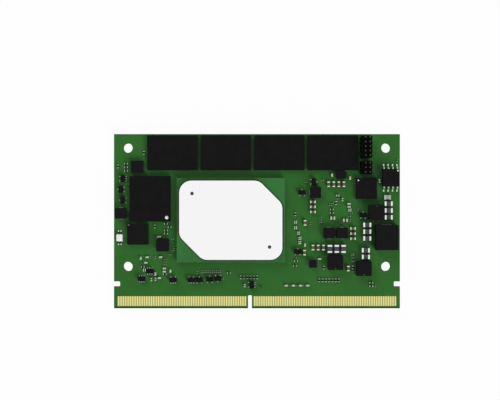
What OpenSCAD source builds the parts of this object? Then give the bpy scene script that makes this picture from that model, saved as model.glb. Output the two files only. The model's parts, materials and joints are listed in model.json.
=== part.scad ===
// System on module: a circuit card with a keyed contact edge and its surface-mounted parts.
// The origin is under the middle of the card, +X runs along the contact edge, +Y points to the far edge.

/* [Card] */
// Width of the card, along the contact edge
board_w = 82; // [82:1:120]
// Depth of the card, from the contact edge to the far edge
board_d = 50; // [50:1:80]
// Thickness of the card
board_t = 1.2; // [1:0.1:1.6]
// Diameter of the four mounting holes
hole_d = 2.7; // [2.2:0.1:3.2]
// Distance of the mounting holes from the side edges and from the far edge
hole_inset = 4; // [3:0.25:4.5]
// Distance between the two rows of mounting holes
hole_rows = 34; // [33:0.5:36]
// Depth of the latch notch in each side edge
notch_depth = 1.75; // [1:0.25:2.5]
// Height of the latch notch
notch_w = 1.5; // [1:0.05:2]
// Distance of the latch notch from the contact edge
notch_rise = 7; // [6:0.25:8]
// Corner radius at the inner end of the latch notches and of the key slot
slot_r = 0.3; // [0.1:0.05:0.35]

/* [Contact edge] */
// Distance from one contact to the next
contact_pitch = 0.5; // [0.5:0.05:0.8]
// Width of one contact
contact_w = 0.35; // [0.25:0.05:0.4]
// Length of one contact
contact_len = 2.8; // [2:0.05:3.5]
// Thickness of the contact plating
contact_t = 0.04; // [0.02:0.01:0.1]
// Bare card between the outer contacts and the side edges
contact_margin = 1; // [0.8:0.1:3]
// Gap between the bevel and the contacts
contact_gap = 0.2; // [0.05:0.05:0.5]
// Width of the key slot
key_w = 1.1; // [0.8:0.1:2]
// Depth of the key slot
key_depth = 3.75; // [2:0.05:4.5]
// Distance of the key slot to the left of the middle
key_shift = 2; // [0:0.5:10]
// Bare card between the key slot and the top contacts
key_gap_top = 0.5; // [0.1:0.1:1]
// Bare card between the key slot and the bottom contacts
key_gap_bottom = 0.02; // [0.02:0.01:0.5]
// Length of the bevel on the contact edge
bevel_len = 0.5; // [0.3:0.1:1]
// Depth of the bevel in each face
bevel_cut = 0.25; // [0.1:0.05:0.4]

/* [Processor] */
// Width of the processor package
cpu_w = 30.9; // [26:0.1:33]
// Depth of the processor package
cpu_d = 24.1; // [20:0.1:26]
// Thickness of the package substrate
cpu_t = 0.75; // [0.5:0.05:1.2]
// Distance of the package centre to the left of the middle
cpu_left = 7.45; // [6.5:0.05:8.5]
// Distance of the package centre above the middle
cpu_up = 0.35; // [-0.5:0.05:1]
// Pitch of the solder balls
cpu_pitch = 1.2; // [1:0.1:1.5]
// Diameter of a solder ball
cpu_ball_d = 0.55; // [0.4:0.05:0.7]
// Height of a soldered ball
cpu_ball_h = 0.35; // [0.2:0.05:0.5]
// Bare substrate around the lid
lid_border = 0.8; // [0.3:0.05:2]
// Overall height of the lid
lid_h = 1; // [0.8:0.1:2]
// Thickness of the lid's roof
lid_roof = 0.45; // [0.3:0.05:0.6]
// Width of the lid's foot, which is glued to the substrate
lid_foot = 2.2; // [1:0.1:3]
// Radius of the two rounded lid corners
lid_round = 3.5; // [2.4:0.1:4]
// Side length of the two clipped lid corners
lid_clip = 6.65; // [4:0.05:8]
// Blend radius at the ends of a clipped corner
lid_blend = 3.3; // [0.5:0.1:3.8]
// Diameter of the two vent holes
vent_d = 1; // [0.5:0.1:1.2]
// Distance of the vent holes from the lid's sides
vent_inset = 3.65; // [3.5:0.05:6]
// Width of the silicon die
die_w = 13; // [6:0.5:16]
// Depth of the silicon die
die_d = 10; // [6:0.5:12]
// Thickness of the thermal interface between die and lid
interface_t = 0.1; // [0.05:0.01:0.2]

/* [Memory] */
// Width of a memory chip
mem_w = 14.45; // [10:0.05:14.5]
// Depth of a memory chip
mem_d = 9.95; // [8:0.05:10]
// Thickness of a memory chip's body
mem_t = 0.7; // [0.5:0.05:1]
// Gap between two memory chips
mem_gap = 0.8; // [0.5:0.1:0.9]
// Gap between the memory chips and the far edge
mem_edge = 0.45; // [0.3:0.05:0.5]
// Distance of the row's centre to the left of the middle
mem_left = 1.25; // [0.5:0.25:1.5]
// Pitch of the memory solder balls
mem_pitch = 0.8; // [0.65:0.05:0.8]
// Diameter of a memory solder ball
mem_ball_d = 0.42; // [0.3:0.02:0.46]
// Height of a soldered memory or flash ball
mem_ball_h = 0.25; // [0.15:0.05:0.35]
// Number of ball rows along a memory chip
mem_ball_rows = 16; // [10:1:16]

/* [Flash and controllers] */
// Width of the flash chip
flash_w = 11.7; // [9:0.1:11.8]
// Depth of the flash chip
flash_d = 13; // [11:0.5:13]
// Thickness of the flash chip's body
flash_t = 0.75; // [0.5:0.05:1]
// Pitch of the flash solder balls
flash_pitch = 0.5; // [0.4:0.05:0.65]
// Diameter of a flash solder ball
flash_ball_d = 0.3; // [0.2:0.02:0.34]
// Number of ball rows along a side of the flash chip
flash_ball_rows = 14; // [8:1:14]
// Side of the two large controllers
ctrl_w = 6; // [5:0.25:6.25]
// Thickness of the controllers' bodies
ctrl_t = 0.85; // [0.6:0.05:1]
// Side of the small controller
small_ctrl_w = 3.5; // [3:0.1:3.6]
// Pitch of the controllers' pads
pad_pitch = 0.5; // [0.4:0.05:0.8]
// Width of a controller's pad
pad_w = 0.25; // [0.18:0.01:0.3]
// Length of a controller's pad
pad_len = 0.45; // [0.3:0.05:0.6]
// Height of a controller's soldered pad
pad_t = 0.1; // [0.05:0.01:0.15]
// How far a pad's solder toe stands out from the body
pad_toe = 0.04; // [0:0.02:0.2]
// Depth of the moulded pin-1 dimples
dimple_depth = 0.05; // [0.02:0.01:0.1]

/* [Leaded packages] */
// Length of the boot flash body, along its rows of leads
boot_len = 4.7; // [4.4:0.1:5]
// Width of the boot flash body, between its rows of leads
boot_w = 5; // [4:0.1:5.3]
// Height of the boot flash body's top above the card
boot_h = 1.8; // [1.4:0.1:2.2]
// Overall span of the boot flash leads
boot_span = 7.95; // [6.5:0.05:8.1]
// Pitch of the boot flash leads
boot_pitch = 1.27; // [1:0.01:1.3]
// Side of the regulator body
reg_w = 2.1; // [1.8:0.1:2.4]
// Height of the regulator body's top above the card
reg_h = 1; // [0.8:0.05:1.2]
// Overall span of the regulator leads
reg_span = 3.2; // [2.8:0.05:3.4]
// Pitch of the regulator leads
reg_pitch = 0.5; // [0.45:0.01:0.55]
// Length of a small transistor body
sot_len = 2; // [1.6:0.05:2.1]
// Width of a small transistor body
sot_w = 1.35; // [1:0.05:1.4]
// Height of a small transistor body's top above the card
sot_h = 0.95; // [0.7:0.05:1.1]
// Overall span of the small transistor leads
sot_span = 2.1; // [1.9:0.05:2.3]
// Pitch of the small transistor leads
sot_pitch = 0.65; // [0.5:0.01:0.7]
// Length of the indicator lamp's body, along its rows of leads
lamp_len = 1.65; // [1.4:0.05:1.9]
// Width of the indicator lamp's body, between its rows of leads
lamp_w = 1.95; // [1.6:0.05:2.2]
// Height of the indicator lamp's top above the card
lamp_h = 1.1; // [0.8:0.05:1.4]
// Overall span of the indicator lamp's leads
lamp_span = 4.2; // [3.4:0.05:4.4]
// Pitch of the indicator lamp's leads
lamp_pitch = 0.72; // [0.5:0.02:0.8]
// Gap between the card and the underside of a moulded body
body_gap = 0.1; // [0.05:0.01:0.15]

/* [Pin headers] */
// Pitch of the header pins, in both directions
pin_pitch = 1.27; // [1.2:0.01:1.3]
// Side of a square header pin
pin_w = 0.36; // [0.3:0.02:0.44]
// Height of the pin tips above the card
pin_h = 4.3; // [3:0.1:8]
// How far the pins' soldered ends stand out below the card
pin_tail = 0.4; // [0.2:0.05:0.45]
// Diameter of the plated holes that the pins pass through
pin_hole_d = 0.7; // [0.65:0.01:0.8]
// Width of a header's insulator
header_w = 3.3; // [2.8:0.05:3.4]
// Height of a header's insulator
header_h = 2; // [1:0.1:2.5]
// Cut at the corners of each pin's place in the insulator
header_cut = 0.25; // [0.1:0.05:0.4]
// Number of pin pairs in the long header
long_pairs = 5; // [3:1:5]
// Number of pin pairs in the short header
short_pairs = 3; // [2:1:3]

/* [Inductors] */
// Width of the main inductor's body
main_w = 6.4; // [5:0.1:6.6]
// Length of the main inductor's body, without its terminals
main_len = 7.1; // [5:0.1:7.2]
// Height of the main inductor's top above the card
main_h = 2.8; // [2:0.1:4]
// Width of the main inductor's terminals
main_term_w = 3; // [2:0.1:4]
// Width of a moulded inductor
mould_w = 4.25; // [3.5:0.05:4.4]
// Length of a moulded inductor's body, without its terminals
mould_len = 4.15; // [3.5:0.05:4.2]
// Height of a moulded inductor's top above the card
mould_h = 2; // [1.2:0.1:3]
// Width of a moulded inductor's terminals
mould_term_w = 2; // [1:0.1:3]
// Width of a wound inductor
wound_w = 3.2; // [2.5:0.05:3.4]
// Length of a wound inductor's body, without its terminals
wound_len = 3; // [2.4:0.05:3.1]
// Height of a wound inductor's top above the card
wound_h = 1.5; // [1:0.1:2]
// Width of a wound inductor's terminals
wound_term_w = 1.25; // [0.8:0.05:2]
// How far a wound inductor's terminals stand out from its body
wound_out = 0.28; // [0.2:0.02:0.3]
// Side of the round-cornered inductor
round_w = 3.6; // [3:0.1:3.8]
// Height of the round-cornered inductor's top above the card
round_h = 1.6; // [1:0.1:2]
// Corner radius of the round-cornered inductor
round_r = 0.3; // [0.2:0.1:1.5]
// Length of the choke
choke_len = 3; // [2:0.1:3]
// Width of the choke
choke_w = 2.2; // [1.5:0.1:2.2]
// Height of the choke's top above the card
choke_h = 1.2; // [0.8:0.1:1.5]
// Corner radius of the choke
choke_r = 0.6; // [0.3:0.1:0.7]
// Width of the choke's terminals
choke_term_w = 1.1; // [0.8:0.1:1.4]
// Gap between the choke's terminals
choke_term_gap = 0.6; // [0.4:0.1:1]
// Thickness of the terminals under the inductors
term_t = 0.12; // [0.08:0.02:0.2]
// How far the main and moulded inductors' terminals stand out from the body
term_out = 0.14; // [0.1:0.02:0.3]
// Length of the inductor terminals under the body
term_in = 0.8; // [0.4:0.1:1]
// Height of the terminals' upturned ends, above the foot
term_rise = 0.6; // [0.3:0.05:0.8]
// Cut at the corners of the moulded bodies
body_cut = 0.12; // [0.1:0.01:0.5]

/* [Chip parts] */
// Length of a large capacitor
cap_l_len = 2.35; // [1.8:0.05:2.45]
// Width of a large capacitor
cap_l_w = 1.3; // [1:0.05:1.5]
// Height of a large capacitor
cap_l_h = 1.25; // [0.8:0.05:1.6]
// Length of a large capacitor's end terminal
cap_l_band = 0.55; // [0.4:0.05:0.8]
// Length of a medium capacitor
cap_m_len = 1.6; // [1.3:0.05:1.65]
// Width of a medium capacitor
cap_m_w = 0.75; // [0.6:0.05:0.9]
// Height of a medium capacitor
cap_m_h = 0.8; // [0.5:0.05:1]
// Length of a medium capacitor's end terminal
cap_m_band = 0.35; // [0.3:0.05:0.6]
// Length of a small capacitor or resistor
cap_s_len = 0.96; // [0.8:0.02:1.04]
// Width of a small capacitor or resistor
cap_s_w = 0.5; // [0.4:0.02:0.52]
// Height of a small capacitor
cap_s_h = 0.5; // [0.3:0.02:0.6]
// Length of a small capacitor's end terminal
cap_s_band = 0.28; // [0.2:0.01:0.35]
// Height of a resistor
res_h = 0.35; // [0.25:0.01:0.4]
// Length of a resistor's end terminal
res_band = 0.15; // [0.1:0.01:0.3]
// Length of a tiny chip part
tiny_len = 0.6; // [0.5:0.02:0.64]
// Width of a tiny chip part
tiny_w = 0.3; // [0.25:0.01:0.34]
// Height of a tiny chip part
tiny_h = 0.3; // [0.2:0.01:0.35]
// Length of a tiny chip part's end terminal
tiny_band = 0.12; // [0.1:0.01:0.2]
// Side of a chip array
array_w = 0.86; // [0.8:0.02:1.04]
// Height of a chip array
array_h = 0.35; // [0.25:0.01:0.4]
// Length of a chip array's terminals
array_band = 0.26; // [0.2:0.01:0.35]
// Width of a chip array's terminals
array_term_w = 0.32; // [0.25:0.01:0.38]
// Distance between two terminals on one side of a chip array
array_pitch = 0.46; // [0.4:0.02:0.6]
// Length of the chip fuse
fuse_len = 1.95; // [1.6:0.05:2.1]
// Width of the chip fuse
fuse_w = 1.3; // [1:0.05:1.4]
// Height of the chip fuse
fuse_h = 0.6; // [0.4:0.05:0.8]
// Length of the chip fuse's end terminal
fuse_band = 0.55; // [0.3:0.05:0.65]
// How far the end terminals stand proud of a chip's body
term_skin = 0.02; // [0.01:0.01:0.04]

/* [Underside] */
// Height of the underside capacitors, on which the module rests
under_h = 0.55; // [0.5:0.01:0.8]
// Spacing of the underside capacitors along X
under_step_x = 3.6; // [2:0.1:4]
// Spacing of the underside capacitors along Y
under_step_y = 3.6; // [2:0.1:4]

/* [Hidden] */
$fn = 48;

// Levels: the module rests on its underside capacitors
under_z = under_h;
top_z = under_z + board_t;
cpu_z = top_z + cpu_ball_h;
lid_z = cpu_z + cpu_t;
die_t = lid_h - lid_roof - interface_t;

// Small overlap of a cutting tool past the face that it cuts
past = 0.5;

// Colours
mask_green = "#33652d";
substrate_green = "#39733c";
gold = "#d2cb83";
nickel = "#f0f0f0";
silicon = "#6d7278";
paste_grey = "#b9bcc0";
chip_black = "#1d1c1d";
inductor_black = "#262426";
header_black = "#171414";
tin = "#e4eae2";
cap_grey = "#77747a";
cap_beige = "#a08f84";
cap_pale = "#c8d0bd";
array_black = "#202420";
lamp_white = "#f4f4f0";
fuse_grey = "#b4b7b4";

// Anchors: each place is measured from the middle, an edge or a corner of the card
mid = [0, 0];
west = [-1, 0];
east = [1, 0];
south = [0, -1];
north_west = [-1, 1];
north_east = [1, 1];
south_west = [-1, -1];
south_east = [1, -1];

// A place is [anchor, x, y, turn]
function anchored(p) = [p[0][0] * board_w / 2 + p[1], p[0][1] * board_d / 2 + p[2]];

// Centres of the packages that other parts refer to
cpu_at = [-cpu_left, cpu_up];
flash_at = anchored([west, 10.45, 6.45]);
boot_place = [east, -2.8, 12.45, 180];
reg_place = [east, -24.95, -12.2, 0];
lamp_place = [west, 1.7, -4.7, 0];
left_ctrl_place = [west, 6.95, -3.65, 0];
right_ctrl_place = [east, -9.75, 9.4, 0];
small_ctrl_place = [north_west, 6.75, -9.45, 0];
main_place = [east, -4.1, -4.55, 0];
round_place = [west, 14.1, -6.75, 0];
choke_place = [east, -16.9, 13.25, 0];
fuse_place = [east, -3.65, 6.85, 0];
long_header_place = [north_east, -9.85, -3.75, 0];
short_header_place = [north_east, -9.85, -9.7, 0];

// Places of the other inductors
moulded_places = [
    [east, -18.65, -11.7, 0],
    [east, -10.55, -13.4, 0],
    [east, -6.95, 2.6, 180]
];
wound_places = [
    [west, 2.1, 2.3, 0],
    [east, -20.35, -3.35, 0],
    [east, -16.7, -3.35, 0],
    [east, -24.25, 8.2, 90]
];

// Places of the capacitors, in rows where they stand in rows
large_cap_places = concat(
    [for (i = [0:2]) [east, -20.2 + 1.95 * i, -7.85, 90]],
    [for (i = [0:2]) [east, -9.55, -1 - 1.93 * i, 0]],
    [for (i = [0:2]) [east, -3.45, 5.05 - 1.95 * i, 0]],
    [for (i = [0:1]) [east, -9.95, -8.25 - 1.9 * i, 0]]
);
medium_cap_places = concat(
    [for (i = [0:2]) [east, -13.55, -2.05 - 1.45 * i, 0]],
    [for (i = [0:2]) [east, -25, 5.55 - 1.42 * i, 0]],
    [for (i = [0:3]) [east, -20.5 + 1.45 * i, 10.6, 90]],
    [for (i = [0:2]) [east, -25 + 1.5 * i, -7.5, 90]],
    [[east, -27.25, -0.45, 90], [east, -14.9, -13.5, 90], [east, -27.4, -8.95, 90]]
);
small_cap_places = concat(
    [[west, 7.75, -10.6, 90], [west, 9.2, -11.85, 0], [west, 13, -4.45, 0]],
    [[west, 9.6, -10.3, 0], [west, 13.45, -10.25, 0]],
    [for (i = [0:1]) [south_west, 14.5, 11.5 - 0.9 * i, 0]],
    [[south_west, 16.25, 10.75, 90], [south_west, 10.8, 8.3, 90], [south_west, 11.95, 8.4, 90]],
    [[south_west, 13.1, 8.75, 0], [south_west, 11.9, 9.9, 90]],
    [[south, -3.5, 6.6, 90]],
    [for (i = [0:3]) [south, 8.4 + 2.06 * i, 6.6, 0]],
    [for (i = [0:1]) [east, -19.75 + 0.9 * i, 0.9, 90]],
    [for (i = [0:1]) [east, -16.15 + 0.9 * i, 0.3, 90]],
    [for (i = [0:1]) [east, -14.65, 5 - 0.85 * i, 0]],
    [[east, -19.5, 13.2, 90], [east, -14.35, 12.35, 90], [east, -5.9, 11.55, 90]],
    [[east, -16.5, 6.2, 90], [east, -27.25, -6.8, 90], [east, -23.05, -10.8, 0]],
    [[east, -17.9, 7.35, 0]]
);

// Places of the resistors, the tiny chips and the chip arrays
resistor_places = concat(
    [[north_west, 8.6, -5.4, 90], [north_west, 1.2, -9.3, 90]],
    [for (i = [0:2]) [north_west, 3.5, -8.5 - i, 0]],
    [[west, 11.75, -1.5, 90], [west, 14.9, -0.7, 0], [west, 16, -1.65, 0]],
    [for (i = [0:1]) [west, 14.95, -2.6 - 0.9 * i, 0]],
    [[south_west, 14.6, 9.85, 0], [south_west, 8.3, 11.95, 0]],
    [[south, -8.05, 10.2, 0]],
    [for (i = [0:5]) [south, -4.65 + 0.95 * i, 8.95, 90]],
    [for (i = [0:6]) [south_east, -23.15 + 0.94 * i, 8.1, 90]],
    [for (i = [0:1]) [south_east, -8.25, 7.4 - i, 0]],
    [for (i = [0:1]) [east, -19.55, 3.4 - i, 0]],
    [[east, -30, 2, 90], [east, -21.85, -13.25, 90], [east, -18.3, 5.2, 90]],
    [[east, -29.8, -11.35, 0], [east, -30.15, -12.8, 0], [east, -13.5, -13.25, 90]]
);
tiny_places = concat(
    [for (i = [0:2]) [west, 14.7, -11 - 0.7 * i, 0]],
    [[west, 16.1, -9.55, 0], [west, 10.4, -10.3, 90], [west, 11.95, -10.3, 90]],
    [[west, 8.85, -11.1, 0], [west, 3.95, 10.65, 0]],
    [[west, 16.9, -5.1, 0], [west, 17.2, -7.5, 90], [west, 17, -8.4, 0]],
    [for (i = [0:9]) [south, -15.8 + 0.6 * i, 10.55, 90]],
    [[south, -17.1, 10.3, 90], [south, 1, 6.4, 0], [south, -9.6, 8.5, 90], [south_east, -7, 6.5, 90]],
    [for (i = [0:2]) [south, 9.48 + 2.06 * i, 6.6, 0]],
    [for (i = [0:2]) [east, -14.45, 0.7 * i - 0.1, 0]],
    [for (i = [0:2]) [east, -22.7, 1.1 - 0.7 * i, 0]],
    [for (i = [0:1]) [east, -20.2 + 0.6 * i, 4.8, 90]],
    [for (i = [0:1]) [east, -13.5, -10.5 - i, 0]],
    [for (i = [0:1]) [east, -13.55, -9.35 - 0.5 * i, 0]],
    [[east, -29.7, -10.6, 90], [east, -27, 11.15, 0], [east, -17.75, 6.45, 0]],
    [[east, -25.65, -0.65, 90], [east, -22.25, 11.7, 0], [east, -12.05, 3.25, 90]],
    [[east, -19.05, 5.3, 90], [east, -13.9, 2.4, 0], [east, -13.5, -14.45, 0], [east, -0.8, 17.4, 90]]
);
array_places = [
    [east, -29.95, -0.25, 0],
    [east, -29.95, -1.85, 0],
    [east, -29.1, -3.4, 90],
    [east, -28.7, -4.85, 90],
    [east, -28.75, -6.1, 90],
    [east, -14.4, 3.2, 0],
    [east, -17.1, -0.15, 90],
    [south_west, 8.8, 11.05, 0]
];

// Places of the small transistors, with the number of leads on their far and near side
transistor_places = [
    [west, 2.6, 12.2, 90, 2, 3],
    [west, 2.05, 9.15, 90, 1, 2],
    [west, 2.55, 6.05, 90, 1, 2],
    [south_west, 10.3, 10.75, 0, 3, 3],
    [south_west, 8, 8.55, 0, 3, 3],
    [south_west, 17, 8.2, 0, 2, 3],
    [south, -18.8, 8.2, 0, 2, 3],
    [south, -16.5, 8.2, 0, 1, 2],
    [south, -13.5, 8.4, 0, 1, 2],
    [south, -11.2, 8.6, 0, 2, 1],
    [south, -1.5, 6.8, 90, 2, 3],
    [east, -29.3, -8.7, 0, 1, 2],
    [east, -28.1, 8.25, 0, 1, 2],
    [east, -24.7, 11.3, 90, 2, 1],
    [east, -10.6, 1.8, 0, 1, 2]
];

// Leads of the moulded packages: [thickness, width, length of the foot, share of the rest that is flat]
sot_lead = [0.12, 0.26, 0.25, 0.35];
boot_lead = [0.2, 0.42, 0.65, 0.35];
reg_lead = [0.12, 0.25, 0.3, 0.35];
lamp_lead = [0.15, 0.35, 0.5, 0.05];

// Pin-1 dots: [side along X, side along Y, distance from the body's edges, diameter]
flash_dot = [1, -1, 1.1, 1];
left_ctrl_dot = [-1, 1, 0.4, 0.5];
right_ctrl_dot = [-1, 1, 0.7, 0.65];
small_ctrl_dot = [-1, 1, 0.5, 0.4];
boot_dot = [-1, -1, 0.5, 0.5];
mould_dot = [0, -1, 0.35, 0.45];

// Contact places along X, which leave the key slot free
key_x = -key_shift;
slot_count = floor((board_w - 2 * contact_margin) / contact_pitch + 0.001);
function contact_x(i) = (i - (slot_count - 1) / 2) * contact_pitch;
function contact_places(gap) = [
    for (i = [0:slot_count - 1])
        if (abs(contact_x(i) - key_x) >= (key_w + contact_w) / 2 + gap) contact_x(i)
];
contact_y = -board_d / 2 + bevel_len + contact_gap;

// Centre of one memory chip
function mem_at(i) = [
    (i - 1.5) * (mem_w + mem_gap) - mem_left,
    board_d / 2 - mem_edge - mem_d / 2
];

// Pin places of a header, around its middle
function pin_places(pairs) = [
    for (i = [0:pairs - 1], side = [-0.5, 0.5])
        [side * pin_pitch, (i - (pairs - 1) / 2) * pin_pitch]
];

// Outer balls of a grid; a memory chip's grid has three empty rows in its middle
function ring_places(nx, ny, pitch, empty = []) = [
    for (i = [0:nx - 1], j = [0:ny - 1])
        if ((i == 0 || j == 0 || i == nx - 1 || j == ny - 1) && len(search(j, empty)) == 0)
            [(i - (nx - 1) / 2) * pitch, (j - (ny - 1) / 2) * pitch]
];
mem_ball_cols = 9;
mem_empty_cols = [3, 4, 5];
function full_count(size, pitch) = floor(size / pitch);

// Places of the underside capacitors: below the processor, the memory chips and the power section
under_cols = floor((cpu_w - 2 * under_step_x) / under_step_x);
under_rows = floor((cpu_d - under_step_y) / under_step_y);
under_places = concat(
    [for (i = [0:under_cols - 1], j = [0:under_rows - 1])
        [mid, cpu_at[0] + (i - (under_cols - 1) / 2) * under_step_x,
            cpu_at[1] + (j - (under_rows - 1) / 2) * under_step_y, 90 * ((i + j) % 2)]],
    [for (chip = [0:3], side = [-1, 1])
        [mid, mem_at(chip)[0] + side * under_step_x, mem_at(chip)[1] - mem_d / 4, 90]],
    [for (i = [0:2], j = [0:1]) [east, -18.5 + 5 * i, -6 - 4 * j, 90]]
);

// Points of an arc from one angle to another
function arc(centre, r, from, to, steps = 8) = [
    for (i = [0:steps])
        let (a = from + (to - from) * i / steps)
        centre + r * [cos(a), sin(a)]
];

// Outline of the lid, drawn in by a margin: two opposite corners are round, the other two are clipped
function lid_points(inset) =
    let (
        x = cpu_w / 2 - lid_border - inset,
        y = cpu_d / 2 - lid_border - inset,
        r = max(lid_round - inset, 0.2),
        b = lid_blend,
        clip = lid_clip - inset * (2 - sqrt(2)),
        reach = b * tan(22.5)
    )
    concat(
        arc([x - clip - reach, y - b], b, 90, 45, 6),
        arc([x - b, y - clip - reach], b, 45, 0, 6),
        arc([x - r, r - y], r, 0, -90),
        arc([clip + reach - x, b - y], b, -90, -135, 6),
        arc([b - x, clip + reach - y], b, -135, -180, 6),
        arc([r - x, y - r], r, 180, 90)
    );

// Side view of a gull-wing lead: out from the body, down, and out again along the card
function gull(reach, rise, lead) =
    let (t = lead[0], foot = lead[2], shoulder = (reach - foot) * lead[3], knee = t * 0.6)
    [[0, rise], [0, rise + t], [shoulder + knee, rise + t], [reach - foot + knee, t],
        [reach, t], [reach, 0], [reach - foot, 0], [shoulder, rise]];

// Side view of a moulded body: a straight belt where the leads come out, sloping flanks above and below
function moulded_section(w, bottom, rise, t, top, slope = 0.12) = [
    [slope - w / 2, bottom], [w / 2 - slope, bottom], [w / 2, rise], [w / 2, rise + t],
    [w / 2 - slope, top], [slope - w / 2, top], [-w / 2, rise + t], [-w / 2, rise]
];

// Helpers

// Puts a part on the card at each place of a list
module on_card(places) {
    for (p = places)
        translate(concat(anchored(p), top_z)) rotate(p[3]) children();
}

// A block centred in X and Y, standing on z = 0
module block(size) {
    translate([-size[0] / 2, -size[1] / 2, 0]) cube(size);
}

// A block with its four upright corners cut
module cut_block(size, cut) {
    x = size[0] / 2;
    y = size[1] / 2;
    linear_extrude(size[2])
        polygon([[cut - x, -y], [x - cut, -y], [x, cut - y], [x, y - cut],
            [x - cut, y], [cut - x, y], [-x, y - cut], [-x, cut - y]]);
}

// A block with its four upright corners rounded
module round_block(size, r) {
    x = size[0] / 2 - r;
    y = size[1] / 2 - r;
    for (i = [-1, 1], j = [-1, 1])
        translate([i * x, j * y, 0]) cylinder(r = r, h = size[2]);
    block([size[0], 2 * y, size[2]]);
    block([2 * x, size[1], size[2]]);
}

// The dimple that marks pin 1 in the top of a body
module dimple(dot, w, d, top) {
    translate([dot[0] * (w / 2 - dot[2]), dot[1] * (d / 2 - dot[2]), top - dimple_depth])
        cylinder(d = dot[3], h = dimple_depth + past);
}

// The ceramic body of a chip part, between its end terminals
module chip_body(len, w, h, band) {
    translate([0, 0, term_skin])
        block([len - 2 * band, w - 2 * term_skin, h - 2 * term_skin]);
}

// The two end terminals of a chip part
module chip_ends(len, w, h, band) {
    for (side = [-1, 1])
        translate([side * (len - band) / 2, 0, 0]) block([band, w, h]);
}

// Where leads stand along a side: one in the middle, two at the ends, or a full row
function lead_offsets(count, pitch) =
    count == 2 ? [-pitch, pitch] : [for (i = [0:count - 1]) (i - (count - 1) / 2) * pitch];

// A row of leads on the +Y side of a body
module lead_row(offsets, w, span, rise, lead) {
    for (x = offsets)
        translate([x - lead[1] / 2, w / 2, 0]) rotate([90, 0, 90])
            linear_extrude(lead[1]) polygon(gull((span - w) / 2, rise, lead));
}

// A moulded body whose leads are on the +Y and -Y sides
module moulded_body(len, w, h, rise, lead) {
    translate([-len / 2, 0, 0]) rotate([90, 0, 90])
        linear_extrude(len) polygon(moulded_section(w, body_gap, rise, lead[0], h));
}

// Height at which the leads leave a moulded body
function lead_rise(h) = h * 0.45;

// An inductor's body, standing on its terminals
module inductor_body(w, len, h) {
    translate([0, 0, term_t]) cut_block([w, len, h - term_t], body_cut);
}

// An inductor's two terminals: a foot under the body and an upturned end
module inductor_terminals(w, len, out) {
    for (side = [0, 180])
        rotate(side) translate([-w / 2, len / 2, 0]) {
            translate([0, -term_in, 0]) cube([w, term_in + out, term_t]);
            translate([0, 0, term_t]) cube([w, term_t, term_rise]);
        }
}

// Card

module circuit_board() {
    color(mask_green) difference() {
        translate([0, 0, under_z]) block([board_w, board_d, board_t]);
        mounting_holes();
        pin_holes(long_header_place, long_pairs);
        pin_holes(short_header_place, short_pairs);
        latch_notches();
        key_slot();
        contact_bevels();
    }
}

module mounting_holes() {
    for (side = [-1, 1], row = [0, 1])
        translate([side * (board_w / 2 - hole_inset), board_d / 2 - hole_inset - row * hole_rows, 0])
            through_hole(hole_d);
}

module pin_holes(place, pairs) {
    for (p = pin_places(pairs))
        translate(concat(anchored(place) + p, 0)) through_hole(pin_hole_d);
}

// A round cut through the card
module through_hole(d) {
    translate([0, 0, under_z - past]) cylinder(d = d, h = board_t + 2 * past);
}

module latch_notches() {
    for (turn = [0, 180])
        translate([0, notch_rise - board_d / 2, 0])
            rotate(turn) translate([-board_w / 2, 0, 0]) edge_cut(notch_depth, notch_w);
}

module key_slot() {
    translate([key_x, -board_d / 2, 0]) rotate(90) edge_cut(key_depth, key_w);
}

// A cut through the card from an edge at x = 0 towards +X, with two rounded inner corners
module edge_cut(depth, w) {
    h = board_t + 2 * past;
    translate([0, 0, under_z - past]) {
        translate([-past, -w / 2, 0]) cube([depth - slot_r + past, w, h]);
        translate([0, slot_r - w / 2, 0]) cube([depth, w - 2 * slot_r, h]);
        for (side = [-1, 1])
            translate([depth - slot_r, side * (w / 2 - slot_r), 0]) cylinder(r = slot_r, h = h);
    }
}

module contact_bevels() {
    for (face = [0, 1])
        translate([-board_w / 2 - past, -board_d / 2, under_z + board_t / 2]) mirror([0, 0, face])
            rotate([90, 0, 90]) linear_extrude(board_w + 2 * past)
                polygon([
                    [bevel_len, board_t / 2],
                    [0, board_t / 2 - bevel_cut],
                    [-past, board_t / 2 - bevel_cut],
                    [-past, board_t / 2 + past],
                    [bevel_len, board_t / 2 + past]
                ]);
}

module top_contacts() {
    color(gold) contact_row(contact_places(key_gap_top), top_z);
}

module bottom_contacts() {
    color(gold) contact_row(contact_places(key_gap_bottom), under_z - contact_t);
}

module contact_row(places, z) {
    for (x = places)
        translate([x - contact_w / 2, contact_y, z]) cube([contact_w, contact_len, contact_t]);
}

// Processor

module processor_substrate() {
    color(substrate_green)
        translate(concat(cpu_at, cpu_z)) block([cpu_w, cpu_d, cpu_t]);
}

module processor_balls() {
    color(tin)
        for (p = ring_places(full_count(cpu_w, cpu_pitch), full_count(cpu_d, cpu_pitch), cpu_pitch))
            translate(concat(cpu_at + p, top_z)) cylinder(d = cpu_ball_d, h = cpu_ball_h);
}

module processor_die() {
    color(silicon)
        translate(concat(cpu_at, lid_z)) block([die_w, die_d, die_t]);
}

module thermal_interface() {
    color(paste_grey)
        translate(concat(cpu_at, lid_z + die_t)) block([die_w, die_d, interface_t]);
}

module processor_lid() {
    vent = [cpu_w / 2 - lid_border - vent_inset, cpu_d / 2 - lid_border - vent_inset];
    color(nickel)
        translate(concat(cpu_at, lid_z)) difference() {
            linear_extrude(lid_h) polygon(lid_points(0));
            translate([0, 0, -past])
                linear_extrude(lid_h - lid_roof + past) polygon(lid_points(lid_foot));
            for (side = [-1, 1])
                translate([side * vent[0], -side * vent[1], 0]) cylinder(d = vent_d, h = lid_h + past);
        }
}

// Memory and flash

module memory_chip(i) {
    color(chip_black)
        translate(concat(mem_at(i), top_z + mem_ball_h)) block([mem_w, mem_d, mem_t]);
}

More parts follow.
